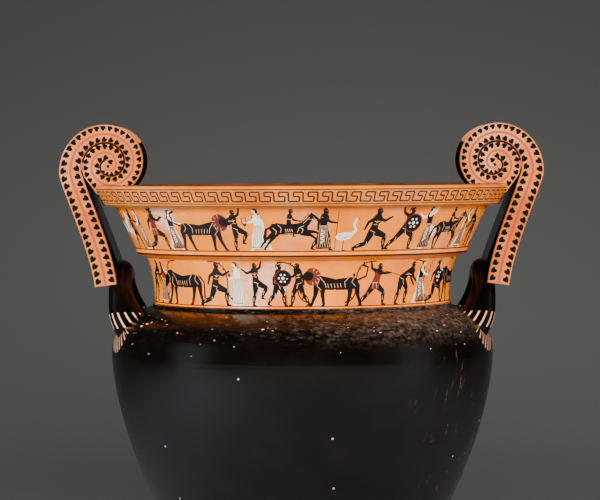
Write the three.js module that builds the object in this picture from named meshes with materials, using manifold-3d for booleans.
// A volute krater: a large fired-clay bowl for mixing wine and water, with two scrolled handles.
// Lengths are in millimetres and +Z is up. The origin is the middle of the foot's underside.
// The handles stand on +X and -X, and the painted front faces -Y.
// Foot, body, neck, rim and handles were joined with wet clay and fired as one piece.

import * as THREE from "three";
import { mergeVertices } from "three/addons/utils/BufferGeometryUtils.js";
import Module from "manifold-3d";

// Heights of the vessel's zones, from the ground up
const FOOT_HEIGHT = 62;
const BODY_HEIGHT = 318;
const SHOULDER_HEIGHT = 53.5;
const NECK_LEDGE_HEIGHT = 3.5;
const LOWER_NECK_HEIGHT = 52.5;
const RIDGE_SLOPE_HEIGHT = 4.8;
const RIDGE_HEIGHT = 6.7;
const UPPER_NECK_HEIGHT = 47.5;
const RIM_HEIGHT = 23;

// The vessel's width, and how far each zone above the shoulder stands in or out from the one below
const STEM_RADIUS = 72;
const BODY_RADIUS = 217;
const SHOULDER_WIDTH = 47;
const NECK_LEDGE = 2;
const LOWER_NECK_FLARE = 8.5;
const RIDGE_OVERHANG = 11.5;
const UPPER_NECK_FLARE = 24;
const RIM_OVERHANG = 13;
const RIM_BEVEL_WIDTH = 12;

// Walls and small mouldings of the vessel
const WALL = 9;
const FLOOR_THICKNESS = 22;
const RIDGE_PROUD = 1.5;
const LIP_OVERHANG_INSIDE = 12;
const LIP_ROUNDING = 3.5;
const RIM_FACE_HEIGHT = 3.5;

// Fullness of the curves: how far along its run each control point of a profile lies
const SHOULDER_FULLNESS = 0.73;
const SHOULDER_SAG = 7;
const SHOULDER_DROP = 0.52;
const BODY_UPRIGHT = 0.057;
const BODY_FULLNESS = 0.935;
const BODY_WAIST = 0.52;
const NECK_HOLLOW = 0.7;

// The foot, in two steps, with a hollow under it
const FOOT_RADIUS = 122;
const FOOT_EDGE_HEIGHT = 26;
const FOOT_EDGE_SWELL = 4;
const FOOT_EDGE_TOP_INSET = 5;
const FOOT_CHAMFER = 2;
const FOOT_STEP = 13;
const FOOT_STEP_HEIGHT = 9;
const FOOT_RING_WIDTH = 24;
const FOOT_HOLLOW_TOP_RADIUS = 50;
const STEM_RING_HEIGHT = 5;
const STEM_RING_PROUD = 3;

// The scroll of each handle: a coil of flat band that stands on the rim
const COIL_SETBACK = 20.2;
const COIL_RISE = 23.7;
const COIL_RADIUS = 49.4;
const COIL_PITCH = 20.8;
const COIL_TURNS = 2.15;
const COIL_FLARE = 4.6;
const COIL_SINK = 10.5;
const FLANGE_OVERLAP = 2;
const GROOVE_WIDTH = 2.6;
const GROOVE_DEPTH = 2.2;
const GROOVE_LEAD = 0.02;

// The upright strap of each handle: two flanges with a recessed web between them
const HANDLE_DEPTH = 108;
const FLANGE_THICKNESS = 9;
const STRAP_WIDTH = 24.7;
const STRAP_END_REACH = 27.5;
const STRAP_END_DROP = 114.5;
const STRAP_BOW = 0.34;
const STRAP_LEAN = 0.12;
const CHANNEL_DEPTH = 6;
const WEB_PROUD = 1.5;
const WEB_OVERLAP = 1;
const STRAP_BACK_SWELL = 7;

// The arched loop that carries each strap: two legs rooted on the shoulder
const LOOP_THICKNESS = 25;
const LOOP_TOP_DROP = 85.5;
const LOOP_LEG_SPREAD = 42;
const LOOP_ROOT_SPREAD = 54;
const LOOP_ROOT_INSET = 8;
const LOOP_LEAN = 3;
const LOOP_LEG_BEND_DROP = 119.5;
const ROOT_FLARE = 2.6;
const ROOT_FLARE_HEIGHT = 68;
const ROOT_SPREAD_SHARE = 0.2;

// How finely round forms are cut into faces
const LATHE_SIDES = 48;
const LEG_SIDES = 10;
const LEG_STEPS = 22;
const COIL_STEPS_PER_TURN = 22;

// Radii, worked out from the body outwards
const SHOULDER_TOP_RADIUS = BODY_RADIUS - SHOULDER_WIDTH;
const NECK_FOOT_RADIUS = SHOULDER_TOP_RADIUS - NECK_LEDGE;
const LOWER_NECK_TOP_RADIUS = NECK_FOOT_RADIUS + LOWER_NECK_FLARE;
const RIDGE_RADIUS = LOWER_NECK_TOP_RADIUS + RIDGE_OVERHANG;
const UPPER_NECK_TOP_RADIUS = RIDGE_RADIUS + UPPER_NECK_FLARE;
const RIM_CORNER_RADIUS = UPPER_NECK_TOP_RADIUS + RIM_OVERHANG;
const RIM_RADIUS = RIM_CORNER_RADIUS + RIM_BEVEL_WIDTH;
const MOUTH_RADIUS = UPPER_NECK_TOP_RADIUS - LIP_OVERHANG_INSIDE;

// Levels, worked out from the heights
const BODY_BOTTOM = FOOT_HEIGHT;
const WIDEST = BODY_BOTTOM + BODY_HEIGHT;
const SHOULDER_TOP = WIDEST + SHOULDER_HEIGHT;
const NECK_FOOT = SHOULDER_TOP + NECK_LEDGE_HEIGHT;
const LOWER_NECK_TOP = NECK_FOOT + LOWER_NECK_HEIGHT;
const RIDGE_BOTTOM = LOWER_NECK_TOP + RIDGE_SLOPE_HEIGHT;
const RIDGE_TOP = RIDGE_BOTTOM + RIDGE_HEIGHT;
const RIM_BOTTOM = RIDGE_TOP + UPPER_NECK_HEIGHT;
const RIM_TOP = RIM_BOTTOM + RIM_HEIGHT;

const COIL_X = RIM_RADIUS - COIL_SETBACK;
const COIL_Z = RIM_TOP + COIL_RISE;

const wasm = await Module();
wasm.setup();

// A closed three.js geometry as a solid: positions merged, and flat triangles on the axis dropped.
function toSolid(geometry) {
  const bare = geometry.clone();
  bare.deleteAttribute("normal");
  bare.deleteAttribute("uv");
  const merged = mergeVertices(bare, 1e-3);
  const corners = merged.index.array;
  const kept = [];
  for (let i = 0; i < corners.length; i += 3) {
    const [a, b, c] = corners.slice(i, i + 3);
    if (a !== b && b !== c && c !== a) {
      kept.push(a, b, c);
    }
  }
  const vertProperties = new Float32Array(merged.attributes.position.array);
  const triVerts = new Uint32Array(kept);
  return new wasm.Manifold(new wasm.Mesh({ numProp: 3, vertProperties, triVerts }));
}

function toGeometry(solid) {
  const mesh = solid.getMesh();
  const geometry = new THREE.BufferGeometry();
  geometry.setAttribute("position", new THREE.BufferAttribute(mesh.vertProperties, 3));
  geometry.setIndex(new THREE.BufferAttribute(mesh.triVerts, 1));
  geometry.computeVertexNormals();
  return geometry;
}

// A profile of (radius, height) points turned round the upright axis.
function turned(points) {
  const geometry = new THREE.LatheGeometry(points, LATHE_SIDES);
  geometry.rotateX(Math.PI / 2);
  return toSolid(geometry);
}

function at(radius, height) {
  return new THREE.Vector2(radius, height);
}

// Points along a curve, each moved to the right of the curve's direction by a distance.
function beside(curve, steps, distance) {
  const points = [];
  for (let i = 0; i <= steps; i += 1) {
    const point = curve.getPoint(i / steps);
    const tangent = curve.getTangent(i / steps);
    points.push(at(point.x + tangent.y * distance, point.y - tangent.x * distance));
  }
  return points;
}

// The shoulder, from under the neck out to the widest level
const shoulderCurve = new THREE.CubicBezierCurve(
  at(SHOULDER_TOP_RADIUS, SHOULDER_TOP),
  at(SHOULDER_TOP_RADIUS + SHOULDER_FULLNESS * SHOULDER_WIDTH, SHOULDER_TOP - SHOULDER_SAG),
  at(BODY_RADIUS, WIDEST + SHOULDER_DROP * SHOULDER_HEIGHT),
  at(BODY_RADIUS, WIDEST),
);

// The body, from the widest level down to the stem: full above and nearly straight below
const bodyCurve = new THREE.CubicBezierCurve(
  at(BODY_RADIUS, WIDEST),
  at(BODY_RADIUS, WIDEST - BODY_UPRIGHT * BODY_HEIGHT),
  at(STEM_RADIUS + BODY_FULLNESS * (BODY_RADIUS - STEM_RADIUS), BODY_BOTTOM + BODY_WAIST * BODY_HEIGHT),
  at(STEM_RADIUS, BODY_BOTTOM),
);

// The lower neck, a little hollow in profile
const lowerNeckCurve = new THREE.QuadraticBezierCurve(
  at(LOWER_NECK_TOP_RADIUS, LOWER_NECK_TOP),
  at(NECK_FOOT_RADIUS + 0.5, NECK_FOOT + NECK_HOLLOW * LOWER_NECK_HEIGHT),
  at(NECK_FOOT_RADIUS, NECK_FOOT),
);

const SHOULDER_STEPS = 6;
const BODY_STEPS = 10;
const LOWER_NECK_STEPS = 3;
const INSIDE_SHOULDER_STEPS = 4;
const INSIDE_BODY_STEPS = 8;

// The foot's profile, from the hollow's top on the axis, out and up to the stem
function footProfile() {
  const ringInner = FOOT_RADIUS - FOOT_RING_WIDTH;
  const hollowTop = BODY_BOTTOM + 2 * WALL - FLOOR_THICKNESS;
  const hollow = new THREE.CubicBezierCurve(
    at(0, hollowTop),
    at(FOOT_HOLLOW_TOP_RADIUS, hollowTop),
    at(FOOT_HOLLOW_TOP_RADIUS, 0.5 * FOOT_HEIGHT),
    at(ringInner, 0),
  );
  const edge = new THREE.QuadraticBezierCurve(
    at(FOOT_RADIUS - FOOT_CHAMFER / 2, FOOT_CHAMFER),
    at(FOOT_RADIUS + FOOT_EDGE_SWELL, 0.55 * FOOT_EDGE_HEIGHT),
    at(FOOT_RADIUS - FOOT_EDGE_TOP_INSET, FOOT_EDGE_HEIGHT),
  );
  const stepRadius = FOOT_RADIUS - FOOT_STEP;
  const stepTop = FOOT_EDGE_HEIGHT + FOOT_STEP_HEIGHT;
  const stemRing = STEM_RADIUS + STEM_RING_PROUD;
  const ringBottom = FOOT_HEIGHT - STEM_RING_HEIGHT;
  const rise = new THREE.CubicBezierCurve(
    at(stepRadius - 4, stepTop),
    at(STEM_RADIUS + 14, stepTop + 3),
    at(STEM_RADIUS + 2, ringBottom - 8),
    at(STEM_RADIUS + 1, ringBottom),
  );
  return [
    ...hollow.getPoints(5),
    at(FOOT_RADIUS - FOOT_CHAMFER, 0),
    ...edge.getPoints(4),
    at(stepRadius, FOOT_EDGE_HEIGHT + 1),
    at(stepRadius + 0.5, stepTop - 3),
    ...rise.getPoints(4),
    at(stemRing, ringBottom + 1),
    at(stemRing, FOOT_HEIGHT - 1),
  ];
}

// The outside from the stem to the rim
function outerProfile() {
  const body = bodyCurve.getPoints(BODY_STEPS).reverse();
  const shoulder = shoulderCurve.getPoints(SHOULDER_STEPS).reverse();
  const lowerNeck = lowerNeckCurve.getPoints(LOWER_NECK_STEPS).reverse();
  return [
    ...body,
    ...shoulder.slice(1),
    at(SHOULDER_TOP_RADIUS, NECK_FOOT),
    ...lowerNeck,
    at(RIDGE_RADIUS, RIDGE_BOTTOM),
    at(RIDGE_RADIUS + RIDGE_PROUD, RIDGE_BOTTOM + 0.4 * RIDGE_HEIGHT),
    at(RIDGE_RADIUS + RIDGE_PROUD, RIDGE_TOP),
    at(UPPER_NECK_TOP_RADIUS, RIM_BOTTOM - 1),
    at(RIM_CORNER_RADIUS, RIM_BOTTOM),
    at(RIM_RADIUS, RIM_TOP - RIM_FACE_HEIGHT),
    at(RIM_RADIUS - 0.2 * LIP_ROUNDING, RIM_TOP - 0.5 * LIP_ROUNDING),
    at(RIM_RADIUS - LIP_ROUNDING, RIM_TOP),
  ];
}

// The inside from the lip down to the floor on the axis, one wall thickness in
function innerProfile(wall) {
  const body = beside(bodyCurve, INSIDE_BODY_STEPS, wall);
  const floorHeight = BODY_BOTTOM + 2 * WALL;
  const above = body.filter((point) => point.y > floorHeight + wall);
  return [
    at(MOUTH_RADIUS, RIM_TOP),
    at(MOUTH_RADIUS - 1, RIM_TOP - 2 * RIM_FACE_HEIGHT),
    at(UPPER_NECK_TOP_RADIUS - wall, RIM_BOTTOM - 2),
    at(RIDGE_RADIUS + 4 - wall, RIDGE_TOP + 8),
    at(LOWER_NECK_TOP_RADIUS - wall, LOWER_NECK_TOP + 2),
    ...beside(lowerNeckCurve, LOWER_NECK_STEPS, wall).slice(1),
    ...beside(shoulderCurve, INSIDE_SHOULDER_STEPS, wall),
    ...above.slice(1),
    at(0.45 * STEM_RADIUS, floorHeight + 1),
    at(0, floorHeight),
  ];
}

function vessel() {
  return turned([...footProfile(), ...outerProfile(), ...innerProfile(WALL)]);
}

// The space inside the middle of the wall, which trims what would stick through into the bowl
function bowlSpace() {
  const inside = innerProfile(0.5 * WALL).reverse();
  return turned([...inside, at(0, RIM_TOP)]);
}

// A point on the outer edge of the coil, by turns from the side that faces away from the bowl
function coilPoint(turns, inset) {
  const early = Math.max(0, 1 - 4 * turns);
  const radius = COIL_RADIUS - COIL_PITCH * turns + COIL_FLARE * early * early - inset;
  const angle = 2 * Math.PI * turns;
  return at(COIL_X + radius * Math.cos(angle), COIL_Z + radius * Math.sin(angle));
}

function coilPoints(from, to, inset) {
  const steps = Math.ceil((to - from) * COIL_STEPS_PER_TURN);
  const points = [];
  for (let i = 0; i <= steps; i += 1) {
    points.push(coilPoint(from + ((to - from) * i) / steps, inset));
  }
  return points;
}

// Where the strap's outer edge ends below, over the loop
const LOOP_X = Math.sqrt((BODY_RADIUS - LOOP_ROOT_INSET) ** 2 - LOOP_ROOT_SPREAD ** 2) + LOOP_LEAN;
const STRAP_START_TURNS = -0.03;
const STRAP_STEPS = 9;
const strapTop = coilPoint(STRAP_START_TURNS, 0);
const strapEnd = at(LOOP_X + STRAP_END_REACH, RIM_TOP - STRAP_END_DROP);
const strapEdge = new THREE.CubicBezierCurve(
  strapEnd,
  at(strapEnd.x + STRAP_LEAN * (strapTop.x - strapEnd.x), strapEnd.y + STRAP_BOW * (strapTop.y - strapEnd.y)),
  at(strapTop.x, strapTop.y - 0.1 * (strapTop.y - strapEnd.y)),
  strapTop,
);

// Places in turns: where the coil sinks into the rim, leaves it again, and meets the strap
const COIL_ENTERS_RIM = 0.72;
const COIL_LEAVES_RIM = 0.92;
const SLOT_TIP = 1;

// The outline of one handle seen from the front. The web's outline is cut back from the flanges'
// outer edges by the channel, and stands a little proud of them at the back.
function handleOutline(inset, proud, swell) {
  const outer = beside(strapEdge, STRAP_STEPS, -inset).slice(0, -1);
  const scroll = coilPoints(STRAP_START_TURNS, COIL_ENTERS_RIM, inset);
  const rimEdge = Math.sqrt(RIM_RADIUS ** 2 - (HANDLE_DEPTH / 2) ** 2) - FLANGE_OVERLAP;
  const root = at(rimEdge - inset, RIM_TOP - COIL_SINK);
  const slotSide = coilPoints(COIL_LEAVES_RIM, SLOT_TIP, proud);
  const back = beside(strapEdge, STRAP_STEPS, -STRAP_WIDTH).reverse();
  back.forEach((point, i) => {
    const down = i / STRAP_STEPS;
    point.x -= (proud + swell * down ** 4) * Math.min(1, 3 * down);
  });
  outer[0].y += proud;
  back[STRAP_STEPS].y += proud;
  return new THREE.Shape([...outer, ...scroll, root, ...slotSide, ...back]);
}

// A front-view outline as a plate between two depths
function plate(shape, from, to) {
  const geometry = new THREE.ExtrudeGeometry(shape, { depth: to - from, bevelEnabled: false });
  geometry.rotateX(Math.PI / 2);
  geometry.translate(0, to, 0);
  return toSolid(geometry);
}

// The spiral groove between the turns of the coil, as a thin band that runs on from the slot
function grooveOutline() {
  const half = GROOVE_WIDTH / 2;
  const start = SLOT_TIP - GROOVE_LEAD;
  const outer = coilPoints(start, COIL_TURNS, -half);
  const inner = coilPoints(start, COIL_TURNS, half);
  return new THREE.Shape([...outer, ...inner.reverse()]);
}

function scrollAndStrap() {
  const face = HANDLE_DEPTH / 2;
  const flange = handleOutline(0, 0, 0);
  const web = handleOutline(CHANNEL_DEPTH, WEB_PROUD, STRAP_BACK_SWELL);
  const groove = grooveOutline();
  let solid = plate(web, -face + FLANGE_THICKNESS - WEB_OVERLAP, face - FLANGE_THICKNESS + WEB_OVERLAP);
  solid = solid.add(plate(flange, -face, -face + FLANGE_THICKNESS));
  solid = solid.add(plate(flange, face - FLANGE_THICKNESS, face));
  solid = solid.subtract(plate(groove, -face - 1, -face + GROOVE_DEPTH));
  solid = solid.subtract(plate(groove, face - GROOVE_DEPTH, face + 1));
  return solid;
}

// The height of the shoulder's surface at a radius
function shoulderHeight(radius) {
  const points = shoulderCurve.getPoints(60);
  const beyond = points.find((point) => point.x >= radius);
  return beyond ? beyond.y : WIDEST;
}

// The loop: a round bar bent into an arch, whose legs run out towards the neck on the shoulder
function loop() {
  const half = LOOP_THICKNESS / 2;
  const rootX = LOOP_X - LOOP_LEAN;
  const rootZ = shoulderHeight(BODY_RADIUS - LOOP_ROOT_INSET) - 0.8 * half;
  const bendZ = RIM_TOP - LOOP_LEG_BEND_DROP;
  const topZ = RIM_TOP - LOOP_TOP_DROP - half;
  const leg = [
    new THREE.Vector3(rootX - LOOP_LEAN, LOOP_ROOT_SPREAD + 1, rootZ),
    new THREE.Vector3(rootX + 0.5 * LOOP_LEAN, 0.5 * (LOOP_ROOT_SPREAD + LOOP_LEG_SPREAD), 0.5 * (rootZ + bendZ)),
    new THREE.Vector3(LOOP_X, LOOP_LEG_SPREAD, bendZ),
    new THREE.Vector3(LOOP_X, 0.6 * LOOP_LEG_SPREAD, 0.75 * topZ + 0.25 * bendZ),
  ];
  const otherLeg = leg.map((point) => new THREE.Vector3(point.x, -point.y, point.z)).reverse();
  const path = new THREE.CatmullRomCurve3([...leg, new THREE.Vector3(LOOP_X, 0, topZ), ...otherLeg]);
  const section = new THREE.Shape();
  section.absellipse(0, 0, half, half, 0, 2 * Math.PI);
  const options = { steps: LEG_STEPS, curveSegments: LEG_SIDES / 2, extrudePath: path };
  const geometry = new THREE.ExtrudeGeometry(section, options);
  const position = geometry.attributes.position;
  for (let i = 0; i < position.count; i += 1) {
    const below = Math.max(0, rootZ + ROOT_FLARE_HEIGHT - position.getZ(i)) / ROOT_FLARE_HEIGHT;
    const growth = 1 + (ROOT_FLARE - 1) * below * below;
    const spread = 1 + (growth - 1) * ROOT_SPREAD_SHARE;
    const outerX = rootX + half;
    const middleY = Math.sign(position.getY(i)) * LOOP_ROOT_SPREAD;
    if (below > 0) {
      position.setX(i, outerX + (position.getX(i) - outerX) * growth);
      position.setY(i, middleY + (position.getY(i) - middleY) * spread);
    }
  }
  return toSolid(geometry).subtract(bowlSpace());
}

function handle() {
  return scrollAndStrap().add(loop());
}

function krater() {
  const right = handle();
  const left = right.mirror([1, 0, 0]);
  const whole = vessel().add(right).add(left);
  const clay = new THREE.MeshStandardMaterial({ color: 0x1d1714, roughness: 0.3, metalness: 0 });
  const mesh = new THREE.Mesh(toGeometry(whole), clay);
  mesh.name = "krater";
  return mesh;
}

const group = new THREE.Group();
group.add(krater());

export default group;
